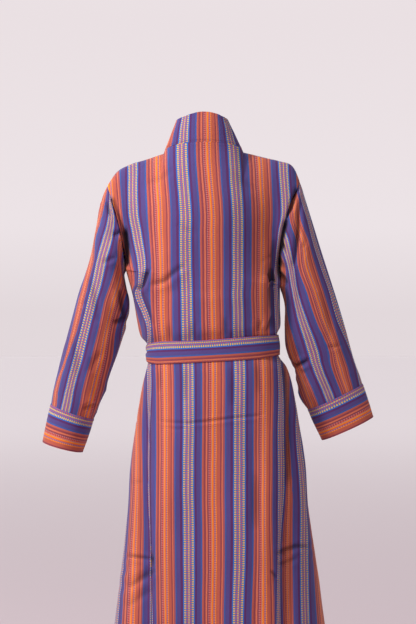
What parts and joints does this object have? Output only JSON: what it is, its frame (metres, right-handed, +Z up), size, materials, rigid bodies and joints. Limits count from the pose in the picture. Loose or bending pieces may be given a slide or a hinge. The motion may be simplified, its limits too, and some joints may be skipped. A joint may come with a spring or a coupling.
{
  "type": "cotton kimono robe",
  "caption": "Long hollow cotton kimono robe as worn: wrapped fronts, standing collar band, straight sleeves with cuff bands and a tied belt.",
  "frame": {"origin": "middle of the neck at the height of the nape seam, where the wearer's neck and shoulders hold the robe", "axes": "+Z up, the wearer faces -Y, the wearer's left is +X"},
  "size_m": [0.7533, 0.3367, 1.3686],
  "materials": {
    "body_cloth": "matt striped cotton, warp stripes in rust, violet and dotted blue-yellow-red bands",
    "sleeve_cloth": "the same striped cotton, stripes along the arm",
    "cuff_cloth": "the same striped cotton, stripes round the wrist",
    "collar_cloth": "the same striped cotton, stripes across the band",
    "belt_cloth": "the same striped cotton, stripes along the belt"
  },
  "bodies": {
    "root": {"back": "body_cloth", "front_left": "body_cloth", "front_right": "body_cloth", "sleeve_left": "sleeve_cloth", "sleeve_right": "sleeve_cloth", "cuff_left": "cuff_cloth", "cuff_right": "cuff_cloth", "collar_band": "collar_cloth", "belt_wrap": "belt_cloth", "belt_knot": "belt_cloth", "belt_end_left": "belt_cloth", "belt_end_right": "belt_cloth"}
  },
  "joints": []
}
